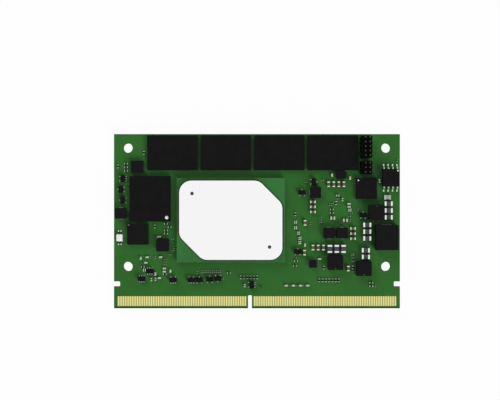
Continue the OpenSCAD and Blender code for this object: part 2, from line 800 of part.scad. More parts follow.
module memory_balls() {
    color(tin)
        for (i = [0:3], p = ring_places(mem_ball_rows, mem_ball_cols, mem_pitch, mem_empty_cols))
            translate(concat(mem_at(i) + p, top_z)) cylinder(d = mem_ball_d, h = mem_ball_h, $fn = 24);
}

module flash_chip() {
    color(chip_black)
        translate(concat(flash_at, top_z + mem_ball_h)) difference() {
            block([flash_w, flash_d, flash_t]);
            dimple(flash_dot, flash_w, flash_d, flash_t);
        }
}

module flash_balls() {
    color(tin)
        for (p = ring_places(flash_ball_rows, flash_ball_rows, flash_pitch))
            translate(concat(flash_at + p, top_z)) cylinder(d = flash_ball_d, h = mem_ball_h, $fn = 24);
}

// Controllers

module controller(place, w, dot) {
    color(chip_black)
        on_card([place]) translate([0, 0, pad_t]) difference() {
            block([w, w, ctrl_t]);
            dimple(dot, w, w, ctrl_t);
        }
}

module controller_pads() {
    color(tin) {
        on_card([left_ctrl_place, right_ctrl_place]) pad_ring(ctrl_w);
        on_card([small_ctrl_place]) pad_ring(small_ctrl_w);
    }
}

// Pads along the four sides of a body
module pad_ring(w) {
    count = floor((w - 2 * pad_len) / pad_pitch);
    for (turn = [0:90:270], i = [0:count - 1])
        rotate(turn)
            translate([(i - (count - 1) / 2) * pad_pitch - pad_w / 2, w / 2 + pad_toe - pad_len, 0])
                cube([pad_w, pad_len, pad_t]);
}

// Leaded packages

module boot_flash() {
    color(chip_black)
        on_card([boot_place]) difference() {
            moulded_body(boot_len, boot_w, boot_h, lead_rise(boot_h), boot_lead);
            dimple(boot_dot, boot_len, boot_w, boot_h);
        }
}

module boot_flash_leads() {
    color(tin)
        on_card([boot_place])
            for (side = [0, 180])
                rotate(side)
                    lead_row(lead_offsets(4, boot_pitch), boot_w, boot_span, lead_rise(boot_h), boot_lead);
}

module regulator() {
    color(chip_black)
        on_card([reg_place]) rotate(90) moulded_body(reg_w, reg_w, reg_h, lead_rise(reg_h), reg_lead);
}

module regulator_leads() {
    color(tin)
        on_card([reg_place])
            for (side = [90, 270])
                rotate(side)
                    lead_row(lead_offsets(4, reg_pitch), reg_w, reg_span, lead_rise(reg_h), reg_lead);
}

module transistors() {
    color(chip_black)
        on_card(transistor_places) moulded_body(sot_len, sot_w, sot_h, lead_rise(sot_h), sot_lead);
}

module transistor_leads() {
    color(tin)
        for (p = transistor_places)
            on_card([p]) {
                transistor_lead_row(p[4]);
                rotate(180) transistor_lead_row(p[5]);
            }
}

module transistor_lead_row(count) {
    lead_row(lead_offsets(count, sot_pitch), sot_w, sot_span, lead_rise(sot_h), sot_lead);
}

module indicator_lamp() {
    color(lamp_white)
        on_card([lamp_place]) moulded_body(lamp_len, lamp_w, lamp_h, lead_rise(lamp_h), lamp_lead);
}

module indicator_lamp_leads() {
    lamp_offsets = [-lamp_pitch / 2, lamp_pitch / 2];
    color(tin)
        on_card([lamp_place])
            for (side = [0, 180])
                rotate(side)
                    lead_row(lamp_offsets, lamp_w, lamp_span, lead_rise(lamp_h), lamp_lead);
}

// Pin headers

module header_body(place, pairs) {
    color(header_black)
        on_card([place]) difference() {
            for (i = [0:pairs - 1])
                translate([0, (i - (pairs - 1) / 2) * pin_pitch, 0])
                    cut_block([header_w, pin_pitch, header_h], header_cut);
            for (p = pin_places(pairs))
                translate(concat(p, -past)) block([pin_w, pin_w, header_h + 2 * past]);
        }
}

module header_pins(place, pairs) {
    color(tin)
        on_card([place])
            for (p = pin_places(pairs))
                translate(concat(p, -board_t - pin_tail)) block([pin_w, pin_w, board_t + pin_tail + pin_h]);
}

// Inductors

module main_inductor() {
    color(inductor_black) on_card([main_place]) inductor_body(main_w, main_len, main_h);
}

module main_inductor_terminals() {
    color(tin) on_card([main_place]) inductor_terminals(main_term_w, main_len, term_out);
}

module moulded_inductors() {
    color(inductor_black)
        on_card(moulded_places) difference() {
            inductor_body(mould_w, mould_len, mould_h);
            dimple(mould_dot, mould_w, mould_len, mould_h);
        }
}

module moulded_inductor_terminals() {
    color(tin) on_card(moulded_places) inductor_terminals(mould_term_w, mould_len, term_out);
}

module wound_inductors() {
    color(inductor_black) on_card(wound_places) inductor_body(wound_w, wound_len, wound_h);
}

module wound_inductor_terminals() {
    color(tin) on_card(wound_places) inductor_terminals(wound_term_w, wound_len, wound_out);
}

module round_inductor() {
    color(inductor_black)
        on_card([round_place]) translate([0, 0, term_t])
            round_block([round_w, round_w, round_h - term_t], round_r);
}

module round_inductor_terminals() {
    color(tin)
        on_card([round_place])
            for (side = [-1, 1])
                translate([side * (round_w - term_in) / 2, 0, 0])
                    block([term_in, round_w - 2 * round_r, term_t]);
}

module choke() {
    color(inductor_black)
        on_card([choke_place]) translate([0, 0, term_t])
            round_block([choke_len, choke_w, choke_h - term_t], choke_r);
}

module choke_terminals() {
    color(tin)
        on_card([choke_place])
            for (side = [-1, 1])
                translate([side * (choke_term_gap + term_in) / 2, 0, 0])
                    block([term_in, choke_term_w, term_t]);
}

// Chip parts

module large_capacitors() {
    color(cap_grey) on_card(large_cap_places) chip_body(cap_l_len, cap_l_w, cap_l_h, cap_l_band);
}

module large_capacitor_terminals() {
    color(tin) on_card(large_cap_places) chip_ends(cap_l_len, cap_l_w, cap_l_h, cap_l_band);
}

module medium_capacitors() {
    color(cap_beige) on_card(medium_cap_places) chip_body(cap_m_len, cap_m_w, cap_m_h, cap_m_band);
}

module medium_capacitor_terminals() {
    color(tin) on_card(medium_cap_places) chip_ends(cap_m_len, cap_m_w, cap_m_h, cap_m_band);
}

module small_capacitors() {
    color(cap_pale) on_card(small_cap_places) chip_body(cap_s_len, cap_s_w, cap_s_h, cap_s_band);
}

module small_capacitor_terminals() {
    color(tin) on_card(small_cap_places) chip_ends(cap_s_len, cap_s_w, cap_s_h, cap_s_band);
}

module resistors() {
    color(chip_black) on_card(resistor_places) chip_body(cap_s_len, cap_s_w, res_h, res_band);
}

module resistor_terminals() {
    color(tin) on_card(resistor_places) chip_ends(cap_s_len, cap_s_w, res_h, res_band);
}

module tiny_chips() {
    color(cap_beige) on_card(tiny_places) chip_body(tiny_len, tiny_w, tiny_h, tiny_band);
}

module tiny_chip_terminals() {
    color(tin) on_card(tiny_places) chip_ends(tiny_len, tiny_w, tiny_h, tiny_band);
}

module chip_arrays() {
    color(array_black) on_card(array_places) chip_body(array_w, array_w, array_h, array_band);
}

module chip_array_terminals() {
    color(tin)
        on_card(array_places)
            for (side = [-1, 1])
                translate([0, side * array_pitch / 2, 0])
                    chip_ends(array_w, array_term_w, array_h, array_band);
}

module chip_fuse() {
    color(fuse_grey) on_card([fuse_place]) chip_body(fuse_len, fuse_w, fuse_h, fuse_band);
}

module chip_fuse_terminals() {
    color(tin) on_card([fuse_place]) chip_ends(fuse_len, fuse_w, fuse_h, fuse_band);
}

// Underside

module under_card(places) {
    for (p = places)
        translate(concat(anchored(p), 0)) rotate(p[3]) children();
}

module underside_capacitors() {
    color(cap_beige) under_card(under_places) chip_body(cap_s_len, cap_s_w, under_h, cap_s_band);
}

module underside_capacitor_terminals() {
    color(tin) under_card(under_places) chip_ends(cap_s_len, cap_s_w, under_h, cap_s_band);
}

circuit_board();
top_contacts();
bottom_contacts();
processor_substrate();
processor_balls();
processor_die();
thermal_interface();
processor_lid();
memory_chip(0);  // memory_chip_1
memory_chip(1);  // memory_chip_2
memory_chip(2);  // memory_chip_3
memory_chip(3);  // memory_chip_4
memory_balls();
flash_chip();
flash_balls();
controller(left_ctrl_place, ctrl_w, left_ctrl_dot);  // left_controller
controller(right_ctrl_place, ctrl_w, right_ctrl_dot);  // right_controller
controller(small_ctrl_place, small_ctrl_w, small_ctrl_dot);  // small_controller
controller_pads();
boot_flash();
boot_flash_leads();
regulator();
regulator_leads();
header_body(long_header_place, long_pairs);  // long_header
header_pins(long_header_place, long_pairs);  // long_header_pins
header_body(short_header_place, short_pairs);  // short_header
header_pins(short_header_place, short_pairs);  // short_header_pins
main_inductor();
main_inductor_terminals();
moulded_inductors();
moulded_inductor_terminals();
wound_inductors();
wound_inductor_terminals();
round_inductor();
round_inductor_terminals();
choke();
choke_terminals();
large_capacitors();
large_capacitor_terminals();
medium_capacitors();
medium_capacitor_terminals();
small_capacitors();
small_capacitor_terminals();
resistors();
resistor_terminals();
tiny_chips();
tiny_chip_terminals();
chip_arrays();
chip_array_terminals();
transistors();
transistor_leads();
indicator_lamp();
indicator_lamp_leads();
chip_fuse();
chip_fuse_terminals();
underside_capacitors();
underside_capacitor_terminals();
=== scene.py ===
"""Looks of the system on module: softened solids, solder, pin-1 marks and procedural finishes."""
import json
import math

import bmesh
import bpy
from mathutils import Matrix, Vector


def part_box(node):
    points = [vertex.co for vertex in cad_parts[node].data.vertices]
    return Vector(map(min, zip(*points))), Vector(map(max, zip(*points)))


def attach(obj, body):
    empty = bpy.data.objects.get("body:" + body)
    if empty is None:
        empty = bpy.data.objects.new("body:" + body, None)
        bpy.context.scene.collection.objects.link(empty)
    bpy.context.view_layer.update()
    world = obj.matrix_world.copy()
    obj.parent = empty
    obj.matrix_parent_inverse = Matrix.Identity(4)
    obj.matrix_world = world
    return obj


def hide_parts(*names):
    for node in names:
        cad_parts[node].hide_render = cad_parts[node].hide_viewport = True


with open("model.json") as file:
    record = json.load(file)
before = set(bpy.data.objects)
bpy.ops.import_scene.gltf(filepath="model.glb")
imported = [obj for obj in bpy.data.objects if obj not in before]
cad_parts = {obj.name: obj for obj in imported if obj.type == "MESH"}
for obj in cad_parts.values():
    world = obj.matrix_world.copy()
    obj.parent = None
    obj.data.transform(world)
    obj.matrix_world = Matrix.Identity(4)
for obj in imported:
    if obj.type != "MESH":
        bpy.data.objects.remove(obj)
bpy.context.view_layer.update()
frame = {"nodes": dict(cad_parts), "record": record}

MM = 0.001
SLOT_OF = {part["node"]: part["material_slot"] for part in frame["record"]["subparts"]}

# Levels taken from the frame
CARD_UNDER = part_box("circuit_board")[0].z
CARD_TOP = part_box("circuit_board")[1].z
CHIP_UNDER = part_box("memory_chip_1")[0].z

# Thickness of the carrier under a ball-grid chip, in millimetres
CARRIER_THICK = 0.2

# The photograph: its size, the card's middle in it and the scale on the card's top face
PHOTO_W, PHOTO_H = 500, 400
CARD_MIDDLE_PX = (256.95, 221.26)
MM_PER_PX = 0.2868
LENS = 50
SENSOR = 36

# Light: an even share from all sides, a low main lamp and a weaker one across from it.
# The sky that metal mirrors goes from its edge to full white at this rise; the spread is in degrees.
AMBIENT = 0.09
SKY_EDGE = 0.35
SKY_FULL_AT = 0.8
MAIN_STRENGTH = 3.7
MAIN_FROM = Vector((0.5, -0.6, 0.36))
FILL_STRENGTH = 2
FILL_FROM = Vector((-0.4, 0.6, 0.28))
LAMP_SPREAD = 40
FLOOR_SHADOW = 0.04
FLOOR_HALF = 6
FLOOR_PALE = (0.9, 0.9, 0.9)

# Colours, as linear red, green and blue
MASK_GREEN = (0.026, 0.131, 0.02)
SUBSTRATE_GREEN = (0.034, 0.165, 0.038)
LAMINATE = (0.2, 0.15, 0.08)
LAMINATE_DARK = (0.12, 0.09, 0.045)
# Mask green darkened as painted shade for the card's chamfered edge
BEVEL_SHADE_GREEN = (0.018, 0.055, 0.009)
GOLD = (0.87, 0.83, 0.31)
GOLD_WARM = (0.87, 0.745, 0.29)
NICKEL = (0.92, 0.92, 0.92)
TIN = (0.86, 0.9, 0.84)
TIN_CREAM = (0.75, 0.81, 0.64)
TIN_PALE = (0.49, 0.6, 0.45)
TIN_SOFT = (0.62, 0.76, 0.58)
TIN_FAINT = (0.43, 0.5, 0.42)
TIN_DULL = (0.25, 0.29, 0.25)
# Tin darkened as painted shade, for leads, pads and inductor terminals that sit in shadow
TIN_SHADED = (0.145, 0.17, 0.14)
# Tin made near black as painted deep shade, for terminals on upright faces and bent lead slopes
TIN_DEEP_SHADE = (0.03, 0.034, 0.03)
MOULD_BLACK = (0.0073, 0.0068, 0.0073)
CHIP_BLACK = (0.0054, 0.0053, 0.0056)
CHIP_BASE = (0.012, 0.03, 0.014)
POWDER_BLACK = (0.0082, 0.0077, 0.0085)
NYLON_BLACK = (0.0018, 0.0016, 0.0016)
PIN_BRASS = (0.12, 0.115, 0.095)
CAP_GREY = (0.071, 0.068, 0.073)
CAP_BROWN = (0.125, 0.09, 0.064)
CAP_PALE = (0.6, 0.7, 0.53)
GLAZE_BLACK = (0.006, 0.008, 0.006)
LAMP_WHITE = (0.97, 0.98, 0.96)
FUSE_GREY = (0.47, 0.53, 0.46)
SILICON_GREY = (0.12, 0.13, 0.15)
PASTE_GREY = (0.45, 0.46, 0.48)
PAINT_WHITE = (0.9, 0.9, 0.9)
PAINT_GREY = (0.17, 0.17, 0.17)
PAINT_DARK = (0.06, 0.06, 0.06)
# Adhesive made black as painted contact shadow round the lid's foot
GLUE_AND_SHADE_BLACK = (0.012, 0.016, 0.012)
ARRAY_GREY = (0.16, 0.18, 0.14)
PLUG_GREY = (0.17, 0.17, 0.17)


def shade(colour, factor):
    """The same colour, lighter or darker."""
    return tuple(channel * factor for channel in colour)


class Finish:
    """A procedural material whose textures are laid out in the object's own millimetres."""

    def __init__(self, name, roughness, metallic=0.0, specular=0.5):
        self.material = bpy.data.materials.new(name)
        self.material.use_nodes = True
        self.nodes = self.material.node_tree.nodes
        self.shader = self.nodes["Principled BSDF"]
        self.shader.inputs["Roughness"].default_value = roughness
        self.shader.inputs["Metallic"].default_value = metallic
        self.shader.inputs["Specular IOR Level"].default_value = specular
        scaled = self.add("ShaderNodeVectorMath", operation="SCALE")
        scaled.inputs["Scale"].default_value = 1 / MM
        self.feed(scaled.inputs[0], self.add("ShaderNodeTexCoord").outputs["Object"])
        self.place = scaled.outputs[0]

    def add(self, kind, **settings):
        node = self.nodes.new(kind)
        for key, value in settings.items():
            setattr(node, key, value)
        return node

    def feed(self, socket, value):
        """Links a socket to another one, or sets it to a plain value."""
        if isinstance(value, bpy.types.NodeSocket):
            self.material.node_tree.links.new(value, socket)
        elif isinstance(value, tuple):
            socket.default_value = (*value, 1.0)
        else:
            socket.default_value = value

    def noise(self, size, detail=2.0, stretch=(1, 1, 1)):
        """Soft random pattern, about 0.3 to 0.7, with features of this size in millimetres."""
        spread = self.add("ShaderNodeMapping")
        spread.inputs["Scale"].default_value = [1 / (size * part) for part in stretch]
        self.feed(spread.inputs["Vector"], self.place)
        node = self.add("ShaderNodeTexNoise")
        self.feed(node.inputs["Vector"], spread.outputs[0])
        node.inputs["Scale"].default_value = 1
        node.inputs["Detail"].default_value = detail
        return node.outputs[0]

    def cells(self, size, feature="F1", metric="EUCLIDEAN"):
        """Distance from the points of a random grid of this size in millimetres."""
        node = self.add("ShaderNodeTexVoronoi", feature=feature, distance=metric)
        self.feed(node.inputs["Vector"], self.place)
        node.inputs["Scale"].default_value = 1 / size
        return node.outputs["Distance"]

    def axis(self, name):
        """One coordinate in millimetres."""
        node = self.add("ShaderNodeSeparateXYZ")
        self.feed(node.inputs[0], self.place)
        return node.outputs[name]

    def facing_up(self):
        """1 on level faces, up or down, and 0 on upright ones."""
        node = self.add("ShaderNodeSeparateXYZ")
        self.feed(node.inputs[0], self.add("ShaderNodeNewGeometry").outputs["Normal"])
        return self.math("ABSOLUTE", node.outputs["Z"])

    def math(self, operation, first, second=0.0):
        node = self.add("ShaderNodeMath", operation=operation)
        self.feed(node.inputs[0], first)
        self.feed(node.inputs[1], second)
        return node.outputs[0]

    def step(self, value, low, high, start=0.0, end=1.0):
        """Eases from start to end as the value goes from low to high."""
        node = self.add("ShaderNodeMapRange", interpolation_type="SMOOTHSTEP")
        for socket, number in zip(node.inputs, (value, low, high, start, end)):
            self.feed(socket, number)
        return node.outputs[0]

    def mix(self, factor, first, second):
        """A colour between two others."""
        node = self.add("ShaderNodeMix", data_type="RGBA")
        self.feed(node.inputs[0], factor)
        self.feed(node.inputs[6], first)
        self.feed(node.inputs[7], second)
        return node.outputs[2]

    def colour(self, value):
        self.feed(self.shader.inputs["Base Color"], value)

    def roughness(self, value):
        self.feed(self.shader.inputs["Roughness"], value)

    def bump(self, height, depth):
        """Relief of this depth in millimetres."""
        node = self.add("ShaderNodeBump")
        node.inputs["Distance"].default_value = depth * MM
        self.feed(node.inputs["Height"], height)
        self.feed(self.shader.inputs["Normal"], node.outputs[0])


# Finishes

def solder_mask():
    """Satin green mask over faint tracks and vias, with bare layered laminate on the cut edges and
    painted shade on the chamfers.
    """
    made = Finish("solder_mask", roughness=0.42, specular=0.23)
    routed = made.step(made.noise(7, detail=1), 0.46, 0.54)
    ring = made.math("PINGPONG", made.cells(5, metric="CHEBYCHEV"), 0.03)
    track = made.math("MULTIPLY", made.step(ring, 0.011, 0.019), routed)
    via_area = made.step(made.noise(4, detail=1), 0.5, 0.58)
    via = made.math("MULTIPLY", made.step(made.cells(1.5), 0.15, 0.1), via_area)
    relief = made.math("ADD", track, made.math("MULTIPLY", via, 1.5))
    cloud = made.step(made.noise(14), 0.35, 0.65)
    tone = made.mix(cloud, shade(MASK_GREEN, 0.94), shade(MASK_GREEN, 1.06))
    tracked = made.mix(made.math("MULTIPLY", track, 0.12), tone, shade(MASK_GREEN, 1.5))
    spotted = made.mix(made.math("MULTIPLY", via, 0.25), tracked, shade(MASK_GREEN, 0.5))
    layer = made.math("PINGPONG", made.axis("Z"), 0.1)
    wall = made.mix(made.step(layer, 0.03, 0.07), LAMINATE_DARK, LAMINATE)
    facing_up = made.facing_up()
    # Sloping faces, such as the contact edge's chamfer, get a darker green as painted shade
    edge = made.mix(made.step(facing_up, 0.3, 0.6), wall, BEVEL_SHADE_GREEN)
    level = made.step(facing_up, 0.9, 0.97)
    made.colour(made.mix(level, edge, spotted))
    satin = made.step(made.noise(0.8, detail=3), 0.3, 0.7, 0.36, 0.5)
    made.roughness(made.step(level, 0, 1, 0.95, satin))
    made.bump(relief, 0.012)
    return made.material


def package_substrate():
    """Lighter green mask of the processor's carrier, with a fine weave under it."""
    made = Finish("package_substrate", roughness=0.4, specular=0.23)
    threads = [made.math("PINGPONG", made.axis(name), 0.25) for name in ("X", "Y")]
    weave = made.math("MULTIPLY", *threads)
    cloud = made.step(made.noise(6), 0.35, 0.65)
    tone = made.mix(cloud, shade(SUBSTRATE_GREEN, 0.93), shade(SUBSTRATE_GREEN, 1.06))
    made.colour(made.mix(made.step(made.facing_up(), 0.5, 0.8), shade(LAMINATE, 0.8), tone))
    made.bump(weave, 0.02)
    return made.material


def metal(name, colour, deep, roughness, grain, stretch=(1, 1, 1), depth=0.003):
    """Plated metal with a fine grain and a slightly uneven tone."""
    made = Finish(name, roughness, metallic=1.0)
    fine = made.noise(grain, detail=3, stretch=stretch)
    made.colour(made.mix(made.step(fine, 0.3, 0.7), deep, colour))
    made.roughness(made.step(made.noise(grain * 6), 0.3, 0.7, roughness * 0.85, roughness * 1.15))
    made.bump(fine, depth)
    return made.material


def moulded(name, colour, roughness, grain, specular, spread=0.25, depth=0.006):
    """Moulded or fired material with a fine grain and cloudy tone."""
    made = Finish(name, roughness, specular=specular)
    fine = made.noise(grain, detail=3)
    drift = made.step(made.noise(grain * 25), 0.3, 0.7)
    cloud = made.mix(drift, shade(colour, 1 - spread / 2), shade(colour, 1 + spread / 2))
    made.colour(made.mix(made.step(fine, 0.35, 0.65, 0, 0.5), cloud, shade(colour, 1 - spread)))
    made.roughness(made.step(made.noise(grain * 8), 0.3, 0.7, roughness * 0.88, roughness * 1.12))
    made.bump(fine, depth)
    return made.material


def ceramic(name, colour, grain, spread):
    """Fired body of a chip part."""
    return moulded(name, colour, roughness=0.45, grain=grain, specular=0.3, spread=spread)


def leads_with_shaded_slopes():
    """Tinned leads, bright on their feet, with painted shade where they are bent down."""
    made = Finish("leads_with_shaded_slopes", roughness=0.4, metallic=1.0)
    fine = made.noise(0.08, detail=3)
    bright = made.mix(made.step(fine, 0.3, 0.7), shade(TIN_SOFT, 0.85), TIN_SOFT)
    # Sloping faces take the near-black tin as painted shade
    made.colour(made.mix(made.step(made.facing_up(), 0.85, 0.95), TIN_DEEP_SHADE, bright))
    made.roughness(made.step(made.noise(0.5), 0.3, 0.7, 0.34, 0.46))
    made.bump(fine, 0.003)
    return made.material


def layered_chip():
    """Black moulding compound on a thin dark green carrier, as ball-grid chips have."""
    carrier_top = CHIP_UNDER / MM + CARRIER_THICK
    made = Finish("layered_chip", roughness=0.55, specular=0.08)
    fine = made.noise(0.08, detail=3)
    drift = made.step(made.noise(3), 0.3, 0.7)
    cloud = made.mix(drift, shade(CHIP_BLACK, 0.85), shade(CHIP_BLACK, 1.15))
    above = made.step(made.axis("Z"), carrier_top - 0.01, carrier_top + 0.01)
    made.colour(made.mix(above, CHIP_BASE, cloud))
    made.roughness(made.step(made.noise(0.6), 0.3, 0.7, 0.5, 0.62))
    made.bump(fine, 0.004)
    return made.material


def pressed_powder():
    """Dark pressed iron powder with a coarse speckle."""
    made = Finish("pressed_powder", roughness=0.6, specular=0.08)
    speck = made.step(made.cells(0.16), 0.1, 0.7)
    made.colour(made.mix(speck, shade(POWDER_BLACK, 1.35), shade(POWDER_BLACK, 0.8)))
    made.bump(made.math("ADD", speck, made.noise(0.4, detail=3)), 0.012)
    return made.material


def seen_directly(tree):
    """1 for what is seen straight, mirrored or through glass, and 0 for light that falls on things."""
    path = tree.nodes.new("ShaderNodeLightPath")

    def join(operation, first, second):
        node = tree.nodes.new("ShaderNodeMath")
        node.operation = operation
        tree.links.new(first, node.inputs[0])
        tree.links.new(second, node.inputs[1])
        return node.outputs[0]

    total = path.outputs["Is Camera Ray"]
    for kind in ("Is Glossy Ray", "Is Transmission Ray"):
        total = join("MAXIMUM", total, path.outputs[kind])
    return join("GREATER_THAN", total, path.outputs["Diffuse Depth"])


def white_floor():
    """White to the eye, with the object's shadow kept faint on it."""
    material = bpy.data.materials.new("white_floor")
    material.use_nodes = True
    tree = material.node_tree
    tree.nodes.clear()
    white = tree.nodes.new("ShaderNodeEmission")
    lit = tree.nodes.new("ShaderNodeBsdfDiffuse")
    lit.inputs["Color"].default_value = (*FLOOR_PALE, 1)
    share = tree.nodes.new("ShaderNodeMath")
    share.operation = "MULTIPLY"
    share.inputs[1].default_value = 1 - FLOOR_SHADOW
    both = tree.nodes.new("ShaderNodeMixShader")
    out = tree.nodes.new("ShaderNodeOutputMaterial")
    tree.links.new(seen_directly(tree), share.inputs[0])
    tree.links.new(share.outputs[0], both.inputs[0])
    tree.links.new(lit.outputs[0], both.inputs[1])
    tree.links.new(white.outputs[0], both.inputs[2])
    tree.links.new(both.outputs[0], out.inputs["Surface"])
    return material


LAYERED = layered_chip()
SOLDER = metal("solder", TIN_DULL, shade(TIN_DULL, 0.8), roughness=0.35, grain=0.15)
CREAM_TIN = metal("cream_tin", TIN_CREAM, shade(TIN_CREAM, 0.85), roughness=0.4, grain=0.08)
PALE_TIN = metal("pale_tin", TIN_PALE, shade(TIN_PALE, 0.85), roughness=0.45, grain=0.08)
SOFT_TIN = metal("soft_tin", TIN_SOFT, shade(TIN_SOFT, 0.85), roughness=0.45, grain=0.08)
FAINT_TIN = metal("faint_tin", TIN_FAINT, shade(TIN_FAINT, 0.85), roughness=0.45, grain=0.08)
GREY_TIN = metal("grey_tin", FUSE_GREY, shade(FUSE_GREY, 0.9), roughness=0.5, grain=0.08)
# Tin darkened as painted shade
SHADED_TIN = metal("shaded_tin", TIN_SHADED, shade(TIN_SHADED, 0.8), roughness=0.5, grain=0.08)
# Tin made near black as painted deep shade
DEEP_SHADE_TIN = metal("deep_shade_tin", TIN_DEEP_SHADE, shade(TIN_DEEP_SHADE, 0.8), roughness=0.5, grain=0.08)
WHITE_PAINT = moulded("white_paint", PAINT_WHITE, roughness=0.6, grain=0.05, specular=0.2, spread=0.06)
GREY_PAINT = moulded("grey_paint", PAINT_GREY, roughness=0.6, grain=0.05, specular=0.2, spread=0.2)
DARK_PAINT = moulded("dark_paint", PAINT_DARK, roughness=0.6, grain=0.05, specular=0.2, spread=0.2)
# Adhesive made black as painted contact shadow round the lid's foot
GLUE_AND_SHADE = moulded("glue_and_shade", GLUE_AND_SHADE_BLACK, roughness=0.6, grain=0.08, specular=0.1)
PLUG = moulded("vent_plug", PLUG_GREY, roughness=0.7, grain=0.1, specular=0.1)
ARRAY_CERAMIC = moulded("array_ceramic", ARRAY_GREY, roughness=0.4, grain=0.06, specular=0.3)
FINISH_OF = {
    "solder_mask": solder_mask(),
    "gold_plating": metal(
        "gold_plating", GOLD, GOLD_WARM, roughness=0.3, grain=1, stretch=(1, 20, 1), depth=0.0001),
    "package_substrate": package_substrate(),
    "nickel_lid": metal(
        "nickel_lid", NICKEL, shade(NICKEL, 0.985), roughness=0.3, grain=0.1, depth=0.0006),
    "silicon": moulded("silicon", SILICON_GREY, roughness=0.2, grain=0.5, specular=0.5, spread=0.1),
    "thermal_pad": moulded("thermal_pad", PASTE_GREY, roughness=0.7, grain=0.2, specular=0.3),
    "solder": SOLDER,
    "mould_compound": moulded("mould_compound", MOULD_BLACK, roughness=0.55, grain=0.08, specular=0.08),
    "tinned_leads": metal("tinned_leads", TIN, shade(TIN, 0.85), roughness=0.4, grain=0.1),
    "header_plastic": moulded("header_plastic", NYLON_BLACK, roughness=0.5, grain=0.12, specular=0.05),
    "header_pins": metal("header_pins", PIN_BRASS, shade(PIN_BRASS, 0.7), roughness=0.4, grain=0.1),
    "iron_powder": pressed_powder(),
    "grey_ceramic": ceramic("grey_ceramic", CAP_GREY, grain=0.1, spread=0.15),
    "beige_ceramic": ceramic("beige_ceramic", CAP_BROWN, grain=0.08, spread=0.15),
    "pale_ceramic": ceramic("pale_ceramic", CAP_PALE, grain=0.06, spread=0.12),
    "resistor_glaze": moulded("resistor_glaze", GLAZE_BLACK, roughness=0.3, grain=0.06, specular=0.2),
    "chip_terminals": metal("chip_terminals", TIN, shade(TIN, 0.85), roughness=0.4, grain=0.08),
    "lamp_plastic": moulded(
        "lamp_plastic", LAMP_WHITE, roughness=0.35, grain=0.1, specular=0.6, spread=0.04),
    "fuse_ceramic": ceramic("fuse_ceramic", FUSE_GREY, grain=0.08, spread=0.12),
}
FINISH_OF_NODE = {
    **{f"memory_chip_{i}": LAYERED for i in range(1, 5)},
    "flash_chip": LAYERED,
    "tiny_chips": FINISH_OF["resistor_glaze"],
    "chip_fuse_terminals": GREY_TIN,
    "chip_arrays": ARRAY_CERAMIC,
    "chip_array_terminals": SOFT_TIN,
    "medium_capacitor_terminals": CREAM_TIN,
    "small_capacitor_terminals": PALE_TIN,
    "resistor_terminals": SOFT_TIN,
    "tiny_chip_terminals": PALE_TIN,
    "boot_flash_leads": SOFT_TIN,
    "indicator_lamp_leads": leads_with_shaded_slopes(),
    "transistor_leads": FAINT_TIN,
    # Tin darkened as painted shade on these leads, pads and inductor terminals
    "regulator_leads": SHADED_TIN,
    "controller_pads": SHADED_TIN,
    "main_inductor_terminals": SHADED_TIN,
    # Near-black tin as painted shade on the moulded inductors' terminals
    "moulded_inductor_terminals": DEEP_SHADE_TIN,
    "wound_inductor_terminals": SHADED_TIN,
}

# Single chips that look unlike the rest of their node: places in millimetres, and their finish.
# A chip's faces lie within the reach of its place.
ODD_CHIP_REACH = 0.55
DARK_CAPACITORS = [
    (23.1, 7.35), (24.5, 6.2), (-3.5, -18.4),
    (35.1, 11.55), (-30.2, -16.7), (-29.05, -16.6),
]
BRIGHT_RESISTORS = [(22.7, 5.2), (32.75, -18.6)]
DIM_RESISTORS = [(0.95 * i - 3.7, -16.05) for i in range(4)]
ODD_CHIPS = {
    "chip_arrays": [(23.9, -0.15, FINISH_OF["resistor_glaze"])],
    "chip_array_terminals": [(23.9, -0.15, SHADED_TIN)],
    "small_capacitors": [(x, y, ARRAY_CERAMIC) for x, y in DARK_CAPACITORS],
    "resistor_terminals": [
        *[(x, y, FINISH_OF["chip_terminals"]) for x, y in BRIGHT_RESISTORS],
        *[(x, y, FAINT_TIN) for x, y in DIM_RESISTORS],
    ],
    "tiny_chip_terminals": [(1, -18.6, SHADED_TIN)],
}

# Edges that turn by more than this many degrees are rounded.
# Below it, the edge radius of each finish's pieces in millimetres, and of nodes that differ.
EDGE_TURN = 25
EDGE_OF_SLOT = {
    "solder_mask": 0.04,
    "gold_plating": 0.015,
    "package_substrate": 0.03,
    "nickel_lid": 0.1,
    "silicon": 0.01,
    "thermal_pad": 0.02,
    "solder": 0.02,
    "mould_compound": 0.05,
    "tinned_leads": 0.025,
    "header_plastic": 0.06,
    "header_pins": 0.09,
    "iron_powder": 0.06,
    "grey_ceramic": 0.06,
    "beige_ceramic": 0.05,
    "pale_ceramic": 0.04,
    "resistor_glaze": 0.03,
    "lamp_plastic": 0.06,
    "fuse_ceramic": 0.04,
}
EDGE_OF_NODE = {"tiny_chips": 0.02, "underside_capacitors": 0.04, "boot_flash_leads": 0.04}

# Chip parts: body node, terminal node, corner radius, and solder reach and rise, in millimetres
CHIP_PARTS = [
    ("large_capacitors", "large_capacitor_terminals", 0.1, 0.03, 0.5),
    ("medium_capacitors", "medium_capacitor_terminals", 0.07, 0.02, 0.35),
    ("small_capacitors", "small_capacitor_terminals", 0.05, 0.04, 0.2),
    ("resistors", "resistor_terminals", 0.04, 0.03, 0.15),
    ("tiny_chips", "tiny_chip_terminals", 0.025, 0.02, 0.1),
    ("chip_arrays", "chip_array_terminals", 0.03, 0.03, 0.15),
    ("chip_fuse", "chip_fuse_terminals", 0.05, 0.06, 0.3),
    ("underside_capacitors", "underside_capacitor_terminals", 0.04, 0.05, 0.2),
]

